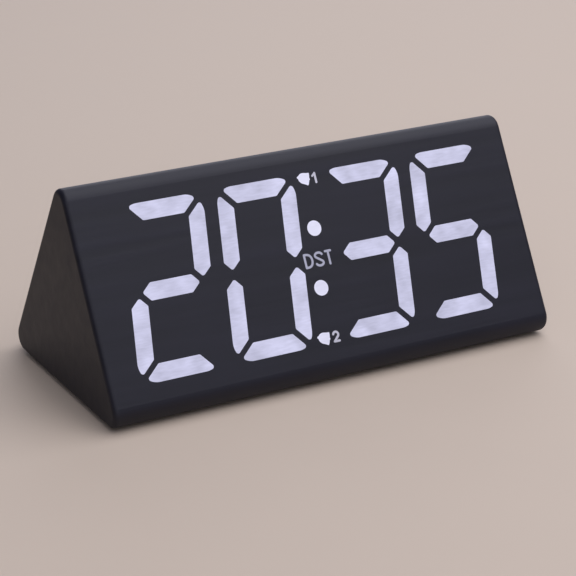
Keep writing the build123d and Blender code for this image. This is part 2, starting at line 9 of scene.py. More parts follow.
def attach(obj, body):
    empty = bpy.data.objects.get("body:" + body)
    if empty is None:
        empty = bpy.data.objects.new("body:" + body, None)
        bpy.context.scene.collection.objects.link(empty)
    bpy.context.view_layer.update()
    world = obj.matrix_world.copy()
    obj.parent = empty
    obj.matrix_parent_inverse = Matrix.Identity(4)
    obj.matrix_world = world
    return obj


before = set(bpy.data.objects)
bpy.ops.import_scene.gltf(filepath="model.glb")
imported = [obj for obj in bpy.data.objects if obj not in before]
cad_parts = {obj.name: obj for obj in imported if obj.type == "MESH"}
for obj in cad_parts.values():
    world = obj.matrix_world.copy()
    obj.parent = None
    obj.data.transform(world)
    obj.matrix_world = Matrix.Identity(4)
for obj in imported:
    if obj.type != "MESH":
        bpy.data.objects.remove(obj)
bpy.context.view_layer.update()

bl_info = {
    "name": "Tent desk clock",
    "version": (1, 0, 0),
    "blender": (4, 5, 0),
    "location": "3D View > Sidebar > Desk Clock",
    "description": "Finishes, marks and studio for a tent-shaped digital desk clock",
    "category": "Object",
}

# Lengths are in metres, and the lens's in millimetres. The two large faces lean at 60 degrees.
FACE_SLOPE = math.radians(60)
SLOPE_SIN = math.sin(FACE_SLOPE)
SLOPE_COS = math.cos(FACE_SLOPE)

# Directions on each large face, as its viewer sees it: right, up and out
FRONT_FACE = np.array([[1, 0, 0], [0, SLOPE_COS, SLOPE_SIN], [0, -SLOPE_SIN, SLOPE_COS]])
REAR_FACE = np.array([[-1, 0, 0], [0, -SLOPE_COS, SLOPE_SIN], [0, SLOPE_SIN, SLOPE_COS]])

# The pieces that share one finish
DIGITS = ("hour_tens", "hour_units", "minute_tens", "minute_units")
KEYS = ("time_set", "alarm_1", "alarm_2", "down", "up", "summer_time")
HOUSING_PIECES = ("front_housing", "rear_cover", "battery_door")
LIT_PIECES = tuple(f"{digit}_lit_segments" for digit in DIGITS)
DARK_PIECES = tuple(f"{digit}_dark_segments" for digit in DIGITS) + (
    "alarm_1_window", "alarm_2_window", "summer_time_window")
KEY_PIECES = tuple(f"{key}_button" for key in KEYS) + ("dimmer_knob",)
BOARD_PIECES = ("display_board", "control_board")
CHIP_PIECES = ("display_driver", "microcontroller", "tact_switches", "dimmer_switch", "buzzer")
CONNECTOR_PIECES = ("display_connector", "control_connector", "coin_cell_holder")
SCREW_PIECES = ("cover_screws", "display_board_screws", "control_board_screws", "battery_door_screw")

# Places of the lit marks, right and up from the middle of the colon
BELL_PLACES = {"alarm_1": (0.0017, 0.02425), "alarm_2": (-0.00455, -0.02375)}
NUMBER_PLACES = {"alarm_1": (0.00575, 0.0239), "alarm_2": (-0.00035, -0.024)}
LETTER_PLACES = ((-0.0032, -0.0004), (0.0004, -0.0004), (0.00375, -0.0004))


# Kinds of values that a user can change

def colour_value(name, description, default):
    """A colour."""
    return bpy.props.FloatVectorProperty(name=name, description=description, subtype="COLOR",
                                         default=default, min=0, max=1)


def length_value(name, description, default):
    """A length in metres."""
    return bpy.props.FloatProperty(name=name, description=description, unit="LENGTH",
                                   default=default, precision=6)


def place_value(name, description, default):
    """A place in the scene, in metres."""
    return bpy.props.FloatVectorProperty(name=name, description=description, subtype="TRANSLATION",
                                         unit="LENGTH", default=default, precision=6)


class ClockFinishes(bpy.types.PropertyGroup):
    """Colours and surface values of the clock's materials."""

    housing_colour: colour_value("Housing", "Colour of the moulded housing", (0.0077, 0.0075, 0.0135))
    housing_roughness: bpy.props.FloatProperty(
        name="Housing roughness", description="How satin the moulding is", subtype="FACTOR",
        default=0.47, min=0, max=1)
    grain_size: length_value("Grain size", "Width of one grain of the moulded texture", 0.00035)
    streak_length: length_value("Streak length", "Length of a faint flow streak along the face", 0.07)
    streak_width: length_value("Streak width", "Width of a faint flow streak", 0.0045)
    key_colour: colour_value("Keys", "Colour of the keys and the dimmer knob", (0.011, 0.0108, 0.019))
    lit_colour: colour_value("Lit digits", "Light that the digits give", (0.503, 0.502, 0.675))
    mark_colour: colour_value(
        "Lit marks", "Light that the colon's dots and the bells give", (0.66, 0.655, 0.82))
    number_colour: colour_value(
        "Lit numbers", "Light that the 1 and 2 beside the bells give", (0.42, 0.41, 0.5))
    season_colour: colour_value("Lit letters", "Light that the summer time letters give", (0.3, 0.3, 0.4))
    unlit_colour: colour_value("Window", "Colour of a lit window's own material", (0.05, 0.05, 0.06))
    print_colour: colour_value(
        "Printed marks", "Colour of the marks printed on the rear wall", (0.42, 0.42, 0.43))
    reflector_colour: colour_value("Reflector", "Colour of the reflector frame", (0.78, 0.78, 0.77))
    board_colour: colour_value(
        "Boards", "Colour of the circuit boards' solder mask", (0.008, 0.075, 0.025))
    track_colour: colour_value(
        "Tracks", "Colour of the copper tracks under the solder mask", (0.02, 0.15, 0.05))
    diode_colour: colour_value("LED chips", "Colour of the LED chips", (0.8, 0.72, 0.42))
    chip_colour: colour_value(
        "Chips", "Colour of chips, switch bodies and the buzzer", (0.016, 0.016, 0.017))
    connector_colour: colour_value(
        "Connectors", "Colour of the connectors and the cell holder", (0.7, 0.66, 0.56))
    ribbon_colour: colour_value("Ribbon", "Colour of the ribbon's wires", (0.62, 0.63, 0.66))
    # Painted shade: a darker colour that stands in for the shade in the grooves between the ribbon's wires
    groove_colour: colour_value("Ribbon grooves", "Colour between the ribbon's wires", (0.3, 0.3, 0.33))
    steel_colour: colour_value(
        "Plated metal", "Colour of the socket, the cell and the crystal", (0.62, 0.62, 0.61))
    screw_colour: colour_value("Screws", "Colour of the screws", (0.34, 0.34, 0.35))
    rubber_colour: colour_value("Feet", "Colour of the rubber feet", (0.016, 0.016, 0.016))


class ClockMarks(bpy.types.PropertyGroup):
    """Sizes of the lit marks on the display and of the printed marks behind."""

    bell_length: length_value("Bell length", "Length of a lit bell from its knob to its mouth", 0.0039)
    bell_width: length_value("Bell width", "Width of a lit bell's mouth", 0.0039)
    bell_swing: bpy.props.FloatProperty(
        name="Bell swing", description="Turn of a lit bell from lying flat, knob upwards",
        subtype="ANGLE", default=math.radians(16))
    number_height: length_value("Number height", "Height of the 1 and 2 beside the bells", 0.0035)
    number_stroke: length_value("Number stroke", "Stroke width of the 1 and 2", 0.0007)
    letter_height: length_value("Letter height", "Height of the summer time letters", 0.0046)
    letter_width: length_value("Letter width", "Width of the D and the S", 0.0031)
    letter_stroke: length_value("Letter stroke", "Stroke width of the letters", 0.0007)
    icon_size: length_value("Icon size", "Height of a mark printed above a key", 0.0042)
    icon_stroke: length_value("Icon stroke", "Line width of the printed marks", 0.00045)
    icon_rise: length_value("Icon rise", "Height of a mark above the middle of its key", 0.0085)
    low_icon_rise: length_value("Low icon rise", "Height of a mark above the knob or the socket", 0.0052)
    proud: length_value("Proud", "How far a mark stands out of the face", 0.00004)
    sunk: length_value("Sunk", "How far a mark reaches into the face", 0.00003)


class ClockStudio(bpy.types.PropertyGroup):
    """Floor, light and camera."""

    floor_colour: colour_value("Floor", "Colour of the floor", (0.53, 0.44, 0.345))
    floor_radius: length_value("Floor radius", "Radius of the round floor", 6.0)
    sky_colour: colour_value("Sky", "Even light from all round", (0.12, 0.125, 0.17))
    lamp_colour: colour_value("Lamps", "Colour of the three lamps", (0.9, 0.9, 1.0))
    softbox_width: length_value("Softbox width", "Side of the square lamp overhead", 1.7)
    softbox_place: place_value("Softbox place", "Middle of the lamp overhead", (0.5, -0.2, 1.2))
    softbox_radiance: bpy.props.FloatProperty(
        name="Softbox radiance", description="How bright the overhead lamp's surface is", default=2.4)
    rim_width: length_value("Rim light width", "Side of the square lamp behind", 1.3)
    rim_place: place_value("Rim light place", "Middle of the lamp behind", (0.8, 1.4, 0.8))
    rim_radiance: bpy.props.FloatProperty(
        name="Rim light radiance", description="How bright the rear lamp's surface is", default=1.45)
    fill_width: length_value("Fill light width", "Side of the square lamp in front", 1.9)
    fill_place: place_value("Fill light place", "Middle of the lamp in front", (-0.38, -1.25, 0.9))
    fill_radiance: bpy.props.FloatProperty(
        name="Fill light radiance", description="How bright the front lamp's surface is", default=0.88)
    camera_place: place_value("Camera place", "Where the camera stands", (-0.300418, -0.523854, 0.265728))
    camera_yaw: bpy.props.FloatProperty(
        name="Yaw", description="Turn of the view to the right of straight back", subtype="ANGLE",
        default=0.5218114)
    camera_pitch: bpy.props.FloatProperty(
        name="Pitch", description="How far the view looks down", subtype="ANGLE", default=0.3891376)
    camera_roll: bpy.props.FloatProperty(
        name="Roll", description="Turn of the picture about its middle", subtype="ANGLE", default=0.0108192)
    focal_length: bpy.props.FloatProperty(
        name="Focal length", description="Lens for a 36 mm wide picture, in millimetres", default=132.47)


# Node groups

def new_group(name, inputs, outputs):
    """An empty node group with the named sockets, and its two end nodes."""
    group = bpy.data.node_groups.new(name, "ShaderNodeTree")
    for label, kind, value in inputs:
        socket = group.interface.new_socket(name=label, in_out="INPUT", socket_type=f"NodeSocket{kind}")
        if value is not None:
            socket.default_value = value
    for label, kind in outputs:
        group.interface.new_socket(name=label, in_out="OUTPUT", socket_type=f"NodeSocket{kind}")
    return group, group.nodes.new("NodeGroupInput"), group.nodes.new("NodeGroupOutput")


def add_node(tree, kind, values=None, links=None, **settings):
    """A node with its settings, socket values and incoming links in one go."""
    node = tree.nodes.new(f"ShaderNode{kind}")
    for name, value in settings.items():
        setattr(node, name, value)
    for key, value in (values or {}).items():
        node.inputs[key].default_value = value
    for key, source in (links or {}).items():
        tree.links.new(source, node.inputs[key])
    return node


def add_math(tree, operation, first, second, third=None):
    """The outcome of a math node. Each of its terms may be a socket or a number."""
    node = tree.nodes.new("ShaderNodeMath")
    node.operation = operation
    for index, term in enumerate((first, second, third)):
        if isinstance(term, (int, float)):
            node.inputs[index].default_value = term
        elif term is not None:
            tree.links.new(term, node.inputs[index])
    return node.outputs[0]


def signed(tree, share):
    """Noise from 0 to 1 turned into -1 to 1."""
    return add_math(tree, "MULTIPLY_ADD", share, 2.0, -1.0)


def moulded_grain():
    """Moulded plastic: fine grain for the surface, and broad clouds in colour and roughness.

    Height is noise one grain wide. The clouds are noise sixty grains wide, and scale the colour by
    1 plus or minus Cloudiness and move the roughness by plus or minus Roughness Spread.
    """
    group, start, end = new_group(
        "moulded_grain",
        [("Vector", "Vector", None), ("Grain Size", "Float", 0.0003), ("Colour", "Color", None),
         ("Cloudiness", "Float", 0.1), ("Roughness", "Float", 0.4), ("Roughness Spread", "Float", 0.04)],
        [("Colour", "Color"), ("Roughness", "Float"), ("Height", "Float")])
    grains_per_cloud = 60.0
    fine_scale = add_math(group, "DIVIDE", 1.0, start.outputs["Grain Size"])
    broad_scale = add_math(group, "DIVIDE", fine_scale, grains_per_cloud)
    fine = add_node(group, "TexNoise", {"Detail": 1.5, "Roughness": 0.6},
                    {"Vector": start.outputs["Vector"], "Scale": fine_scale})
    broad = add_node(group, "TexNoise", {"Detail": 3.0, "Roughness": 0.55},
                     {"Vector": start.outputs["Vector"], "Scale": broad_scale})
    cloud = signed(group, broad.outputs["Fac"])
    factor = add_math(group, "MULTIPLY_ADD", cloud, start.outputs["Cloudiness"], 1.0)
    shade = add_node(group, "VectorMath", links={0: start.outputs["Colour"], "Scale": factor},
                     operation="SCALE")
    rough = add_math(group, "MULTIPLY_ADD", cloud, start.outputs["Roughness Spread"],
                     start.outputs["Roughness"])
    group.links.new(shade.outputs[0], end.inputs["Colour"])
    group.links.new(rough, end.inputs["Roughness"])
    group.links.new(fine.outputs["Fac"], end.inputs["Height"])
    return group


def flow_streaks():
    """Faint streaks along X, as a melt leaves when it flows along a long wall.

    The mask is noise on coordinates divided by Length along X and by Width across it.
    """
    group, start, end = new_group(
        "flow_streaks",
        [("Vector", "Vector", None), ("Length", "Float", 0.07), ("Width", "Float", 0.003)],
        [("Mask", "Float")])
    along = add_math(group, "DIVIDE", 1.0, start.outputs["Length"])
    across = add_math(group, "DIVIDE", 1.0, start.outputs["Width"])
    scale = add_node(group, "CombineXYZ", links={"X": along, "Y": across, "Z": across})
    stretched = add_node(group, "VectorMath",
                         links={0: start.outputs["Vector"], 1: scale.outputs[0]}, operation="MULTIPLY")
    noise = add_node(group, "TexNoise", {"Scale": 1.0, "Detail": 2.0, "Roughness": 0.5},
                     {"Vector": stretched.outputs[0]})
    group.links.new(signed(group, noise.outputs["Fac"]), end.inputs["Mask"])
    return group


def lamp_glow():
    """Light through a moulded window: soft patches near the LEDs, and fine streaks of the resin.

    The colour is scaled by 1 plus Unevenness times noise of the patch size, plus half of that for
    noise a tenth as wide and stretched five times along X.
    """
    group, start, end = new_group(
        "lamp_glow",
        [("Vector", "Vector", None), ("Colour", "Color", None), ("Patch Size", "Float", 0.006),
         ("Unevenness", "Float", 0.1)],
        [("Colour", "Color")])
    streaks_per_patch = 10.0
    streak_stretch = (0.2, 1.0, 1.0)
    streak_share = 0.5
    broad_scale = add_math(group, "DIVIDE", 1.0, start.outputs["Patch Size"])
    fine_scale = add_math(group, "MULTIPLY", broad_scale, streaks_per_patch)
    broad = add_node(group, "TexNoise", {"Detail": 1.0},
                     {"Vector": start.outputs["Vector"], "Scale": broad_scale})
    stretched = add_node(group, "VectorMath", {1: streak_stretch}, {0: start.outputs["Vector"]},
                         operation="MULTIPLY")
    fine = add_node(group, "TexNoise", {"Detail": 2.0},
                    {"Vector": stretched.outputs[0], "Scale": fine_scale})
    mixed = add_math(group, "MULTIPLY_ADD", signed(group, fine.outputs["Fac"]), streak_share,
                     signed(group, broad.outputs["Fac"]))
    factor = add_math(group, "MULTIPLY_ADD", mixed, start.outputs["Unevenness"], 1.0)
    shade = add_node(group, "VectorMath", links={0: start.outputs["Colour"], "Scale": factor},
                     operation="SCALE")
    group.links.new(shade.outputs[0], end.inputs["Colour"])
    return group


def drawn_scratches():
    """Fine scratches on metal: noise stretched twenty times along X, for height and roughness."""
    group, start, end = new_group(
        "drawn_scratches",
        [("Vector", "Vector", None), ("Scratch Width", "Float", 0.0001), ("Roughness", "Float", 0.3),
         ("Roughness Spread", "Float", 0.1)],
        [("Roughness", "Float"), ("Height", "Float")])
    stretch = 20.0
    across = add_math(group, "DIVIDE", 1.0, start.outputs["Scratch Width"])
    along = add_math(group, "DIVIDE", across, stretch)
    scale = add_node(group, "CombineXYZ", links={"X": along, "Y": across, "Z": across})
    stretched = add_node(group, "VectorMath",
                         links={0: start.outputs["Vector"], 1: scale.outputs[0]}, operation="MULTIPLY")
    noise = add_node(group, "TexNoise", {"Scale": 1.0, "Detail": 3.0}, {"Vector": stretched.outputs[0]})
    rough = add_math(group, "MULTIPLY_ADD", signed(group, noise.outputs["Fac"]),
                     start.outputs["Roughness Spread"], start.outputs["Roughness"])
    group.links.new(rough, end.inputs["Roughness"])
    group.links.new(noise.outputs["Fac"], end.inputs["Height"])
    return group


def shared_group(make):
    """The node group that a function makes, made only once."""
    return bpy.data.node_groups.get(make.__name__) or make()


# Materials

def four(colour):
    """A colour with full alpha."""
    return (*colour, 1.0)


def new_material(name):
    """A material with its shader and its object coordinates."""
    material = bpy.data.materials.new(name)
    material.use_nodes = True
    tree = material.node_tree
    place = tree.nodes.new("ShaderNodeTexCoord").outputs["Object"]
    return material, tree, tree.nodes["Principled BSDF"], place


def place_group(tree, make, values=None, links=None):
    """A shared node group placed in a material."""
    return add_node(tree, "Group", values, links, node_tree=shared_group(make))


def add_bump(tree, shader, height, depth):
    """Relief of the given depth in metres from a height between 0 and 1."""
    bump = add_node(tree, "Bump", {"Distance": depth}, {"Height": height})
    tree.links.new(bump.outputs[0], shader.inputs["Normal"])


def plastic(name, colour, roughness, grain, cloudiness=0.12, depth=0.00001):
    """Moulded plastic with grain, faint clouds and relief."""
    material, tree, shader, place = new_material(name)
    cover = place_group(tree, moulded_grain,
                        {"Grain Size": grain, "Colour": four(colour), "Cloudiness": cloudiness,
                         "Roughness": roughness}, {"Vector": place})
    tree.links.new(cover.outputs["Colour"], shader.inputs["Base Color"])
    tree.links.new(cover.outputs["Roughness"], shader.inputs["Roughness"])
    add_bump(tree, shader, cover.outputs["Height"], depth)
    return material


def housing_plastic(name, finishes):
    """The satin housing: moulded grain with faint flow streaks along the clock."""
    shade_share = 0.5
    rough_share = 0.07
    streak_depth = 0.00004
    grain_depth = 0.000012
    material, tree, shader, place = new_material(name)
    cover = place_group(tree, moulded_grain,
                        {"Grain Size": finishes.grain_size, "Colour": four(finishes.housing_colour),
                         "Cloudiness": 0.16, "Roughness": finishes.housing_roughness,
                         "Roughness Spread": 0.03}, {"Vector": place})
    streaks = place_group(tree, flow_streaks,
                          {"Length": finishes.streak_length, "Width": finishes.streak_width},
                          {"Vector": place})
    factor = add_math(tree, "MULTIPLY_ADD", streaks.outputs["Mask"], shade_share, 1.0)
    shade = add_node(tree, "VectorMath", links={0: cover.outputs["Colour"], "Scale": factor},
                     operation="SCALE")
    rough = add_math(tree, "MULTIPLY_ADD", streaks.outputs["Mask"], rough_share,
                     cover.outputs["Roughness"])
    tree.links.new(shade.outputs[0], shader.inputs["Base Color"])
    tree.links.new(rough, shader.inputs["Roughness"])
    waves = add_node(tree, "Bump", {"Distance": streak_depth}, {"Height": streaks.outputs["Mask"]})
    grain = add_node(tree, "Bump", {"Distance": grain_depth},
                     {"Height": cover.outputs["Height"], "Normal": waves.outputs[0]})
    tree.links.new(grain.outputs[0], shader.inputs["Normal"])
    shader.inputs["Specular IOR Level"].default_value = 0.31
    return material


def lit_window(name, finishes, colour, unevenness):
    """A moulded window with light behind it."""
    material, tree, shader, place = new_material(name)
    glow = place_group(tree, lamp_glow, {"Colour": four(colour), "Unevenness": unevenness},
                       {"Vector": place})
    cover = place_group(tree, moulded_grain,
                        {"Grain Size": finishes.grain_size, "Colour": four(finishes.unlit_colour),
                         "Roughness": 0.35}, {"Vector": place})
    tree.links.new(cover.outputs["Colour"], shader.inputs["Base Color"])
    tree.links.new(cover.outputs["Roughness"], shader.inputs["Roughness"])
    tree.links.new(glow.outputs["Colour"], shader.inputs["Emission Color"])
    shader.inputs["Emission Strength"].default_value = 1.0
    return material


def circuit_board(name, finishes):
    """Solder mask with faint copper tracks, which are the joints of a brick pattern."""
    track_depth = 0.00003
    material, tree, shader, place = new_material(name)
    tracks = add_node(tree, "TexBrick",
                      {"Color1": four(finishes.board_colour), "Color2": four(finishes.board_colour),
                       "Mortar": four(finishes.track_colour), "Scale": 180.0, "Mortar Size": 0.06,
                       "Brick Width": 0.9, "Row Height": 0.35}, {"Vector": place})
    cover = place_group(tree, moulded_grain,
                        {"Grain Size": 0.0004, "Cloudiness": 0.1, "Roughness": 0.28},
                        {"Vector": place, "Colour": tracks.outputs["Color"]})
    tree.links.new(cover.outputs["Colour"], shader.inputs["Base Color"])
    tree.links.new(cover.outputs["Roughness"], shader.inputs["Roughness"])
    add_bump(tree, shader, tracks.outputs["Fac"], track_depth)
    return material


def ribbon_wires(name, finishes):
    """Flat ribbon: waves across X, one for each wire, for colour and relief. The darker colour between the
    wires is painted shade in the grooves.

    Blender's wave is 2 pi over twenty times its scale wide.
    """
    wire_width = 0.000987
    wire_relief = 0.0002
    scale = 2 * math.pi / (20 * wire_width)
    material, tree, shader, place = new_material(name)
    waves = add_node(tree, "TexWave", {"Scale": scale, "Distortion": 0.0}, {"Vector": place},
                     wave_type="BANDS", bands_direction="X")
    # The groove colour is painted shade, laid into the troughs of the waves between the wires
    # A mix node's colours go in at 6 and 7 and come out at 2
    colour = add_node(tree, "Mix", {6: four(finishes.groove_colour), 7: four(finishes.ribbon_colour)},
                      {0: waves.outputs["Fac"]}, data_type="RGBA")
    tree.links.new(colour.outputs[2], shader.inputs["Base Color"])
    shader.inputs["Roughness"].default_value = 0.45
    add_bump(tree, shader, waves.outputs["Fac"], wire_relief)
    return material


def metal(name, colour, roughness, scratch_width):
    """Plated metal with fine scratches."""
    scratch_depth = 0.000004
    material, tree, shader, place = new_material(name)
    scratches = place_group(tree, drawn_scratches,
                            {"Scratch Width": scratch_width, "Roughness": roughness}, {"Vector": place})
    cover = place_group(tree, moulded_grain,
                        {"Grain Size": 0.00005, "Colour": four(colour), "Cloudiness": 0.08},
                        {"Vector": place})
    tree.links.new(cover.outputs["Colour"], shader.inputs["Base Color"])
    tree.links.new(scratches.outputs["Roughness"], shader.inputs["Roughness"])
    shader.inputs["Metallic"].default_value = 1.0
    add_bump(tree, shader, scratches.outputs["Height"], scratch_depth)
    return material


def dress(names, material):
    """Gives CAD pieces their material."""
    for name in names:
        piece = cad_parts[name]
        if not piece.material_slots:
            piece.data.materials.append(material)
        for slot in piece.material_slots:
            slot.material = material


# Places on the faces

def node_points(name):
    """A node's vertices as rows of three numbers."""
    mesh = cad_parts[name].data
    points = np.zeros(len(mesh.vertices) * 3, np.float32)
    mesh.vertices.foreach_get("co", points)
    return points.reshape(-1, 3).astype(float)


def middle_of(values):
    """Half way between the lowest and the highest value."""
    return (values.min() + values.max()) / 2


def spot_on(face, wall, node):
    """The middle of a node, brought out to the surface of the wall that it is in."""
    right, up, out = face
    points = node_points(node)
    level = (node_points(wall) @ out).max()
    return middle_of(points @ right) * right + middle_of(points @ up) * up + level * out


# Shapes of the marks, as closed shells: vertices (right, up, out) and faces

def grid_faces(rows, columns, wrap):
    """Four-cornered faces between neighbouring rows of a grid of vertices."""
    down, across = np.meshgrid(np.arange(rows - 1), np.arange(columns if wrap else columns - 1),
                               indexing="ij")
    beside = (across + 1) % columns
    corners = (down * columns + across, down * columns + beside,
               (down + 1) * columns + beside, (down + 1) * columns + across)
    return np.stack(corners, axis=-1).reshape(-1, 4).tolist()


def bead(path, width, marks):
    """A flat line with round ends along a path, as one closed shell.

    The path is carried on by half a width at each end, where the half width follows a circle. A
    profile with a flat top and softened shoulders is set square to the path at every point.
    """
    first_turn = 0.08
    end_steps = 5
    top_share = 0.8
    shoulder_share = 0.6
    half = width / 2
    turn = np.linspace(first_turn, math.pi / 2, end_steps)
    first = path[1] - path[0]
    last = path[-1] - path[-2]
    first /= np.linalg.norm(first)
    last /= np.linalg.norm(last)
    head = path[0] - np.outer(np.cos(turn) * half, first)
    tail = path[-1] + np.outer(np.cos(turn) * half, last)
    line = np.vstack([head, path[1:-1], tail[::-1]])
    reach = np.concatenate([np.sin(turn), np.ones(len(path) - 2), np.sin(turn)[::-1]]) * half
    tangent = np.gradient(line, axis=0)
    tangent /= np.linalg.norm(tangent, axis=1)[:, None]
    side = np.stack([-tangent[:, 1], tangent[:, 0]], axis=1)
    shoulder = marks.proud * shoulder_share
    across = np.array([-1, -1, -top_share, top_share, 1, 1])
    height = np.array([-marks.sunk, shoulder, marks.proud, marks.proud, shoulder, -marks.sunk])
    flat = line[:, None, :] + side[:, None, :] * (reach[:, None] * across)[:, :, None]
    lift = np.broadcast_to(height, flat.shape[:2])
    points = np.concatenate([flat, lift[:, :, None]], axis=2).reshape(-1, 3)
    rows, columns = flat.shape[:2]
    faces = grid_faces(rows, columns, True)
    faces.append(list(range(columns)))
    faces.append([(rows - 1) * columns + index for index in range(columns)])
    return points, faces


def leaf(lower, upper, marks):
    """A filled flat shape between two edges, as one closed shell.

    Each column runs straight from a point of the lower edge to its mate on the upper edge. The
    top and the bottom are the same grid at two levels, joined round the border.
    """
    steps = 5
    across = np.linspace(0, 1, steps)[:, None, None]
    flat = lower * (1 - across) + upper * across
    rows, columns = flat.shape[:2]
    count = rows * columns
    top = np.concatenate([flat.reshape(-1, 2), np.full((count, 1), marks.proud)], axis=1)
    bottom = np.concatenate([flat.reshape(-1, 2), np.full((count, 1), -marks.sunk)], axis=1)
    faces = grid_faces(rows, columns, False)
    faces += [[corner + count for corner in face[::-1]] for face in faces]
    grid = np.arange(count).reshape(rows, columns)
    border = np.concatenate([grid[0, :-1], grid[:-1, -1], grid[-1, :0:-1], grid[:0:-1, 0]])
    following = np.roll(border, -1)
    faces += np.stack([following, border, border + count, following + count], axis=1).tolist()
    return np.vstack([top, bottom]), faces


def straight(start, finish, count=5):
    """A straight path of equal steps."""
    steps = np.linspace(0, 1, count)[:, None]
    return np.array(start) * (1 - steps) + np.array(finish) * steps


def arc(middle, radii, begin, end, count=24):
    """Part of an ellipse, from one angle to another in degrees."""
    angle = np.radians(np.linspace(begin, end, count))
    return np.array(middle) + np.stack([np.cos(angle) * radii[0], np.sin(angle) * radii[1]], axis=1)


def disc(middle, radius, marks):
    """A filled circle: its two edges are the lower and the upper half, a few degrees short."""
    short = 4
    lower = arc(middle, (radius, radius), 180 + short, 360 - short)
    upper = arc(middle, (radius, radius), 180 - short, short)
    return leaf(lower, upper, marks)


def bell(length, width, marks):
    """A filled bell lying on its side, its knob to the left, with the clapper at its mouth.

    Half its width grows as a quarter ellipse over the crown, up to a share of the mouth, and from
    the waist on also with the square of the way. Past the mouth a flat half ellipse closes it. The
    knob and the clapper are small discs.
    """
    crown_share = 0.86
    crown_end = 0.58
    waist = 0.45
    lip_length = 0.1
    body_share = 0.88
    middle_share = 0.52
    disc_share = 0.1
    knob_shift_share = 0.01
    clapper_shift_share = 0.05
    blunt_share = 0.02
    rows = 36
    way = np.linspace(blunt_share, 1 + lip_length * (1 - blunt_share), rows)
    crown = crown_share * np.sqrt(1 - (1 - np.minimum(way / crown_end, 1)) ** 2)
    flare = (1 - crown_share) * (np.clip(way - waist, 0, 1 - waist) / (1 - waist)) ** 2
    lip = np.sqrt(1 - (np.maximum(way - 1, 0) / lip_length) ** 2)
    half = (crown + flare) * lip * width / 2
    along = (way - middle_share) * length * body_share
    knob = (along[0] - knob_shift_share * length, 0)
    clapper = (along[-1] - clapper_shift_share * length, 0)
    return [leaf(np.stack([along, -half], axis=1), np.stack([along, half], axis=1), marks),
            disc(knob, disc_share * length, marks), disc(clapper, disc_share * length, marks)]


def number_one(height, stroke, marks):
    """A plain 1: an upright line with a short flag of a thinner stroke."""
    out_share = 0.26
    down_share = 0.22
    stroke_share = 0.85
    top = height / 2 - stroke / 2
    flag = straight((0, top), (-out_share * height, top - down_share * height))
    return [bead(straight((0, -top), (0, top)), stroke, marks),
            bead(flag, stroke * stroke_share, marks)]


def number_two(height, stroke, marks):
    """A plain 2: a round top, a straight way down and a flat foot."""
    half_width_share = 0.34
    bow_start = 165
    bow_end = -35
    top = height / 2 - stroke / 2
    wide = half_width_share * height - stroke / 2
    bow = arc((0, top - wide), (wide, wide), bow_start, bow_end)
    down = straight(bow[-1], (-wide, -top))[1:]
    return [bead(np.vstack([bow, down]), stroke, marks),
            bead(straight((-wide, -top), (wide, -top)), stroke, marks)]


def letter_d(width, height, stroke, marks):
    """A plain D: an upright line, and a bow that follows a flattened ellipse.

    The bow is as far out as the cosine of its angle to a power under one.
    """
    flatness = 0.6
    bow_points = 28
    side = width / 2 - stroke / 2
    top = height / 2 - stroke / 2
    angle = np.radians(np.linspace(90, -90, bow_points))
    bow = np.stack([-side + 2 * side * np.cos(angle) ** flatness, top * np.sin(angle)], axis=1)
    return [bead(straight((-side, -top), (-side, top)), stroke, marks), bead(bow, stroke, marks)]


def letter_s(width, height, stroke, marks):
    """A plain S: two bows, each part of an ellipse, and the straight line that touches both.

    The line leaves the upper bow where the sine of the angle is minus the bow's height over the
    height of its middle.
    """
    bow_share = 0.41
    opening = 15
    spine_points = 7
    side = width / 2 - stroke / 2
    top = height / 2 - stroke / 2
    tall = bow_share * top
    middle = top - tall
    touch = math.degrees(math.asin(tall / middle))
    upper = arc((0, middle), (side, tall), opening, 180 + touch)
    lower = arc((0, -middle), (side, tall), touch, opening - 180)
    spine = straight(upper[-1], lower[0], spine_points)[1:-1]
    return [bead(np.vstack([upper, spine, lower]), stroke, marks)]


def letter_t(width, height, stroke, marks):
    """A plain T: an upright line under a bar a fifth narrower than the other letters."""
    bar_share = 0.8
    side = bar_share * width / 2 - stroke / 2
    top = height / 2 - stroke / 2
    return [bead(straight((-side, top), (side, top)), stroke, marks),
            bead(straight((0, top), (0, -top)), stroke, marks)]


def triangle(size, direction, marks):
    """A filled triangle that points up or down."""
    blunt_share = 0.04
    half_width_share = 0.55
    height_share = 0.9
    rows = 12
    way = np.linspace(blunt_share, 1, rows)
    half = way * size * half_width_share
    rise = direction * (0.5 - way) * size * height_share
    return [leaf(np.stack([-half, rise], axis=1), np.stack([half, rise], axis=1), marks)]


def sun(size, stroke, marks):
    """A ring with short rays all round."""
    ring_share = 0.2
    ray_start_share = 0.34
    ray_end_share = 0.48
    rays = 8
    core = size * ring_share
    shells = [bead(arc((0, 0), (core, core), 0, 360, count=33), stroke, marks)]
    for angle in np.linspace(0, 2 * math.pi, rays, endpoint=False):
        way = np.array([math.cos(angle), math.sin(angle)]) * size
        shells.append(bead(straight(way * ray_start_share, way * ray_end_share), stroke, marks))
    return shells


def dial(size, stroke, marks):
    """A round clock face with two hands."""
    minute_shares = (0, 0.62)
    hour_shares = (0.45, -0.2)
    rim = size / 2 - stroke / 2
    shells = [bead(arc((0, 0), (rim, rim), 0, 360, count=41), stroke, marks)]
    for right, up in (minute_shares, hour_shares):
        shells.append(bead(straight((0, 0), (rim * right, rim * up)), stroke, marks))
    return shells


def wedge(size, marks):
    """A low wedge that grows to the right, for a level that rises."""
    length_share = 2
    thin_share = 0.06
    growth_share = 0.42
    base_share = -0.24
    rows = 12
    way = np.linspace(0, 1, rows)
    along = (way - 0.5) * size * length_share
    height = thin_share * size + way * size * growth_share
    low = np.full_like(way, base_share * size)
    return [leaf(np.stack([along, low], axis=1), np.stack([along, low + height], axis=1), marks)]


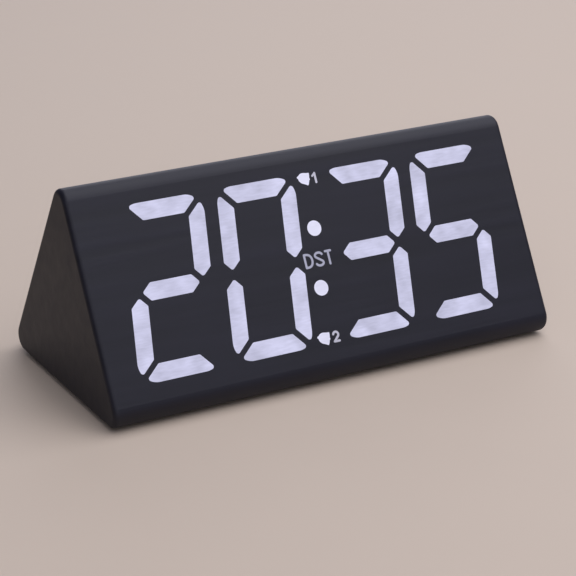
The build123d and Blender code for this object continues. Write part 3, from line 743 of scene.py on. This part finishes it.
def direct_current(size, stroke, marks):
    """A straight line over three dashes."""
    half_share = 0.6
    rise_share = 1.1
    outer_share = 0.84
    dash_share = 0.14
    half = size * half_share
    rise = stroke * rise_share
    dash = half * dash_share
    shells = [bead(straight((-half, rise), (half, rise)), stroke, marks)]
    for middle in (-outer_share * half, 0, outer_share * half):
        shells.append(bead(straight((middle - dash, -rise), (middle + dash, -rise)), stroke, marks))
    return shells


def moved(shells, place, turn=0.0):
    """Shells turned clockwise by an angle about their own middle, and then moved.

    Points are rows, so the matrix stands on their right.
    """
    cosine, sine = math.cos(turn), math.sin(turn)
    matrix = np.array([[cosine, -sine, 0], [sine, cosine, 0], [0, 0, 1]])
    return [(points @ matrix + np.array([*place, 0]), faces) for points, faces in shells]


def add_piece(name, shells, spot, face, material, body):
    """One mesh from closed shells on a face, riding on a body."""
    points = []
    faces = []
    count = 0
    for shell_points, shell_faces in shells:
        points.append(shell_points)
        faces += [[corner + count for corner in shell_face] for shell_face in shell_faces]
        count += len(shell_points)
    world = spot + np.vstack(points) @ face
    mesh = bpy.data.meshes.new(name)
    mesh.from_pydata(world.tolist(), [], faces)
    tidy = bmesh.new()
    tidy.from_mesh(mesh)
    bmesh.ops.recalc_face_normals(tidy, faces=tidy.faces)
    tidy.to_mesh(mesh)
    tidy.free()
    mesh.materials.append(material)
    piece = bpy.data.objects.new(name, mesh)
    bpy.context.scene.collection.objects.link(piece)
    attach(piece, body)


# Operators: one for each piece or group of like pieces

class CLOCK_OT_housing(bpy.types.Operator):
    """Finish the front housing, the rear cover, the battery door and the unlit windows"""

    bl_idname = "clock.housing"
    bl_label = "Housing"

    def execute(self, context):
        finishes = context.scene.clock_finishes
        dress(HOUSING_PIECES + DARK_PIECES, housing_plastic("satin_black_moulding", finishes))
        return {"FINISHED"}


class CLOCK_OT_lit_digits(bpy.types.Operator):
    """Light the digits and the colon"""

    bl_idname = "clock.lit_digits"
    bl_label = "Lit digits"

    def execute(self, context):
        finishes = context.scene.clock_finishes
        dress(LIT_PIECES, lit_window("lit_segment", finishes, finishes.lit_colour, unevenness=0.35))
        dress(("colon_windows",),
              lit_window("lit_colon", finishes, finishes.mark_colour, unevenness=0.15))
        return {"FINISHED"}


class CLOCK_OT_alarm_marks(bpy.types.Operator):
    """Make the lit bell and number in each alarm window"""

    bl_idname = "clock.alarm_marks"
    bl_label = "Alarm marks"

    def execute(self, context):
        finishes = context.scene.clock_finishes
        marks = context.scene.clock_marks
        bell_light = lit_window("lit_bell", finishes, finishes.mark_colour, unevenness=0.15)
        number_light = lit_window("lit_number", finishes, finishes.number_colour, unevenness=0.15)
        spot = spot_on(FRONT_FACE, "front_housing", "colon_windows")
        for name, number in (("alarm_1", number_one), ("alarm_2", number_two)):
            shells = moved(bell(marks.bell_length, marks.bell_width, marks), BELL_PLACES[name],
                           marks.bell_swing)
            add_piece(f"{name}_lit_bell", shells, spot, FRONT_FACE, bell_light, "case")
            shells = moved(number(marks.number_height, marks.number_stroke, marks), NUMBER_PLACES[name])
            add_piece(f"{name}_lit_number", shells, spot, FRONT_FACE, number_light, "case")
        return {"FINISHED"}


class CLOCK_OT_summer_time_letters(bpy.types.Operator):
    """Make the dimly lit summer time letters between the colon's dots"""

    bl_idname = "clock.summer_time_letters"
    bl_label = "Summer time letters"

    def execute(self, context):
        finishes = context.scene.clock_finishes
        marks = context.scene.clock_marks
        material = lit_window("dimly_lit_letter", finishes, finishes.season_colour, unevenness=0.2)
        spot = spot_on(FRONT_FACE, "front_housing", "colon_windows")
        size = (marks.letter_width, marks.letter_height, marks.letter_stroke, marks)
        shells = []
        for letter, place in zip((letter_d, letter_s, letter_t), LETTER_PLACES):
            shells += moved(letter(*size), place)
        add_piece("summer_time_lit_letters", shells, spot, FRONT_FACE, material, "case")
        return {"FINISHED"}


class CLOCK_OT_keys(bpy.types.Operator):
    """Finish the keys and the dimmer knob"""

    bl_idname = "clock.keys"
    bl_label = "Keys"

    def execute(self, context):
        finishes = context.scene.clock_finishes
        dress(KEY_PIECES, plastic("key_plastic", finishes.key_colour, roughness=0.46, grain=0.0002))
        return {"FINISHED"}


class CLOCK_OT_printed_marks(bpy.types.Operator):
    """Print a plain mark on the rear wall by each key, the dimmer and the power socket"""

    bl_idname = "clock.printed_marks"
    bl_label = "Printed marks"

    def execute(self, context):
        finishes = context.scene.clock_finishes
        marks = context.scene.clock_marks
        material = plastic("pale_print", finishes.print_colour, roughness=0.55, grain=0.00012,
                           cloudiness=0.2, depth=0.000004)
        size = marks.icon_size
        stroke = marks.icon_stroke
        bell_left_share = 0.36
        number_right_share = 0.6
        number_height_share = 0.72
        number_stroke_share = 1.2
        triangle_share = 0.8
        sun_share = 1.1
        wedge_share = 0.7
        upright_bell = moved(bell(size, size, marks), (-bell_left_share * size, 0), math.pi / 2)
        number_size = (number_height_share * size, number_stroke_share * stroke, marks)
        number_place = (number_right_share * size, 0)
        shapes = {
            "time_set": dial(size, stroke, marks),
            "alarm_1": upright_bell + moved(number_one(*number_size), number_place),
            "alarm_2": upright_bell + moved(number_two(*number_size), number_place),
            "down": triangle(triangle_share * size, -1, marks),
            "up": triangle(triangle_share * size, 1, marks),
            "summer_time": sun(sun_share * size, stroke, marks),
        }
        for key, shells in shapes.items():
            spot = spot_on(REAR_FACE, "rear_cover", f"{key}_button")
            add_piece(f"{key}_printed_mark", moved(shells, (0, marks.icon_rise)), spot, REAR_FACE,
                      material, "case")
        low_shapes = {
            "dimmer": ("dimmer_knob", wedge(wedge_share * size, marks)),
            "power": ("power_socket_shell", direct_current(size, stroke, marks)),
        }
        for name, (node, shells) in low_shapes.items():
            spot = spot_on(REAR_FACE, "rear_cover", node)
            add_piece(f"{name}_printed_mark", moved(shells, (0, marks.low_icon_rise)), spot, REAR_FACE,
                      material, "case")
        return {"FINISHED"}


class CLOCK_OT_electronics(bpy.types.Operator):
    """Finish the reflector, the boards and what they carry"""

    bl_idname = "clock.electronics"
    bl_label = "Electronics"

    def execute(self, context):
        finishes = context.scene.clock_finishes
        dress(("reflector_frame",),
              plastic("white_reflector", finishes.reflector_colour, roughness=0.35, grain=0.0003))
        dress(BOARD_PIECES, circuit_board("solder_mask", finishes))
        dress(("segment_leds",),
              plastic("led_resin", finishes.diode_colour, roughness=0.25, grain=0.0002))
        dress(CHIP_PIECES, plastic("chip_resin", finishes.chip_colour, roughness=0.6, grain=0.00015))
        dress(CONNECTOR_PIECES,
              plastic("ivory_plastic", finishes.connector_colour, roughness=0.45, grain=0.0003))
        dress(("ribbon_cable",), ribbon_wires("ribbon_wires", finishes))
        dress(("power_socket_tongue",),
              plastic("socket_plastic", finishes.chip_colour, roughness=0.5, grain=0.0002))
        return {"FINISHED"}


class CLOCK_OT_metalwork(bpy.types.Operator):
    """Finish the screws, the power socket, the coin cell, the capacitor and the crystal"""

    bl_idname = "clock.metalwork"
    bl_label = "Metalwork"

    def execute(self, context):
        finishes = context.scene.clock_finishes
        dress(SCREW_PIECES,
              metal("zinc_plated_steel", finishes.screw_colour, roughness=0.34, scratch_width=0.00006))
        dress(("power_socket_shell", "clock_crystal"),
              metal("nickel_plate", finishes.steel_colour, roughness=0.24, scratch_width=0.00008))
        dress(("coin_cell", "power_capacitor"),
              metal("brushed_can", finishes.steel_colour, roughness=0.32, scratch_width=0.00012))
        return {"FINISHED"}


class CLOCK_OT_feet(bpy.types.Operator):
    """Finish the rubber feet"""

    bl_idname = "clock.feet"
    bl_label = "Feet"

    def execute(self, context):
        finishes = context.scene.clock_finishes
        dress(("rubber_feet",),
              plastic("foot_rubber", finishes.rubber_colour, roughness=0.8, grain=0.0003,
                      cloudiness=0.2, depth=0.00003))
        return {"FINISHED"}


class CLOCK_OT_studio(bpy.types.Operator):
    """Set out the floor, the light and the camera"""

    bl_idname = "clock.studio"
    bl_label = "Studio"

    def execute(self, context):
        studio = context.scene.clock_studio
        self.lay_floor(studio)
        self.light(context.scene, studio)
        self.place_camera(context.scene, studio)
        return {"FINISHED"}

    def lay_floor(self, studio):
        """A round floor of rings, whose radius grows with the cube of their number."""
        first_share = 0.02
        rings = 24
        corners = 96
        radius = studio.floor_radius * np.linspace(first_share, 1, rings)[:, None] ** 3
        angle = np.linspace(0, 2 * math.pi, corners, endpoint=False)[None, :]
        flat = np.stack([radius * np.cos(angle), radius * np.sin(angle), np.zeros_like(radius * angle)],
                        axis=2)
        faces = grid_faces(rings, corners, True)
        faces.append(list(range(corners)))
        mesh = bpy.data.meshes.new("floor")
        mesh.from_pydata(flat.reshape(-1, 3).tolist(), [], faces)
        material, tree, shader, place = new_material("pale_floor")
        cover = place_group(tree, moulded_grain,
                            {"Grain Size": 0.0006, "Colour": four(studio.floor_colour),
                             "Cloudiness": 0.015, "Roughness": 0.7}, {"Vector": place})
        tree.links.new(cover.outputs["Colour"], shader.inputs["Base Color"])
        tree.links.new(cover.outputs["Roughness"], shader.inputs["Roughness"])
        mesh.materials.append(material)
        floor = bpy.data.objects.new("floor", mesh)
        bpy.context.scene.collection.objects.link(floor)

    def light(self, scene, studio):
        """Even light from all round, a soft lamp overhead, and weaker ones behind and in front."""
        world = bpy.data.worlds.new("studio_light")
        world.use_nodes = True
        background = world.node_tree.nodes["Background"]
        background.inputs["Color"].default_value = four(studio.sky_colour)
        background.inputs["Strength"].default_value = 1.0
        scene.world = world
        for name, place, width, radiance in (
                ("softbox", studio.softbox_place, studio.softbox_width, studio.softbox_radiance),
                ("rim_light", studio.rim_place, studio.rim_width, studio.rim_radiance),
                ("fill_light", studio.fill_place, studio.fill_width, studio.fill_radiance)):
            self.hang_lamp(scene, name, place, width, radiance, studio.lamp_colour)

    def hang_lamp(self, scene, name, place, width, radiance, colour):
        """A square soft lamp aimed at the clock. Its power is pi times its area times its radiance."""
        lamp = bpy.data.lights.new(name, "AREA")
        lamp.shape = "SQUARE"
        lamp.size = width
        lamp.color = colour
        lamp.energy = math.pi * width ** 2 * radiance
        holder = bpy.data.objects.new(name, lamp)
        middle = Vector(place)
        aim = middle.to_track_quat("Z", "Y").to_matrix().to_4x4()
        holder.matrix_world = Matrix.Translation(middle) @ aim
        scene.collection.objects.link(holder)

    def place_camera(self, scene, studio):
        """The camera's axes from its yaw, pitch and roll."""
        yaw, pitch, roll = studio.camera_yaw, studio.camera_pitch, studio.camera_roll
        ahead = Vector((math.sin(yaw) * math.cos(pitch), math.cos(yaw) * math.cos(pitch),
                        -math.sin(pitch)))
        level = Vector((math.cos(yaw), -math.sin(yaw), 0))
        upright = level.cross(ahead)
        right = level * math.cos(roll) + upright * math.sin(roll)
        up = upright * math.cos(roll) - level * math.sin(roll)
        lens = bpy.data.cameras.new("camera")
        lens.lens = studio.focal_length
        lens.sensor_width = 36
        lens.clip_start = 0.01
        lens.clip_end = 50
        camera = bpy.data.objects.new("camera", lens)
        turn = Matrix((right, up, -ahead)).transposed().to_4x4()
        camera.matrix_world = Matrix.Translation(Vector(studio.camera_place)) @ turn
        scene.collection.objects.link(camera)
        scene.camera = camera
        scene.view_settings.view_transform = "Standard"


class CLOCK_PT_sidebar(bpy.types.Panel):
    """The clock's operators in the 3D view's sidebar"""

    bl_idname = "CLOCK_PT_sidebar"
    bl_label = "Desk Clock"
    bl_space_type = "VIEW_3D"
    bl_region_type = "UI"
    bl_category = "Desk Clock"

    def draw(self, context):
        for operator in OPERATORS:
            self.layout.operator(operator.bl_idname)
        scene = context.scene
        for group in (scene.clock_finishes, scene.clock_marks, scene.clock_studio):
            box = self.layout.box()
            for name in group.__annotations__:
                box.prop(group, name)


OPERATORS = (
    CLOCK_OT_housing, CLOCK_OT_lit_digits, CLOCK_OT_alarm_marks, CLOCK_OT_summer_time_letters,
    CLOCK_OT_keys, CLOCK_OT_printed_marks, CLOCK_OT_electronics, CLOCK_OT_metalwork,
    CLOCK_OT_feet, CLOCK_OT_studio,
)
CLASSES = (ClockFinishes, ClockMarks, ClockStudio, *OPERATORS, CLOCK_PT_sidebar)


def register():
    """Registers the classes and hangs the property groups on the scene."""
    for each in CLASSES:
        bpy.utils.register_class(each)
    bpy.types.Scene.clock_finishes = bpy.props.PointerProperty(type=ClockFinishes)
    bpy.types.Scene.clock_marks = bpy.props.PointerProperty(type=ClockMarks)
    bpy.types.Scene.clock_studio = bpy.props.PointerProperty(type=ClockStudio)


def unregister():
    """Takes the property groups off the scene and the classes out again."""
    del bpy.types.Scene.clock_studio
    del bpy.types.Scene.clock_marks
    del bpy.types.Scene.clock_finishes
    for each in reversed(CLASSES):
        bpy.utils.unregister_class(each)


def main():
    """Makes the whole clock and its studio."""
    register()
    bpy.ops.clock.housing()
    bpy.ops.clock.lit_digits()
    bpy.ops.clock.alarm_marks()
    bpy.ops.clock.summer_time_letters()
    bpy.ops.clock.keys()
    bpy.ops.clock.printed_marks()
    bpy.ops.clock.electronics()
    bpy.ops.clock.metalwork()
    bpy.ops.clock.feet()
    bpy.ops.clock.studio()


if __name__ == "__main__":
    main()
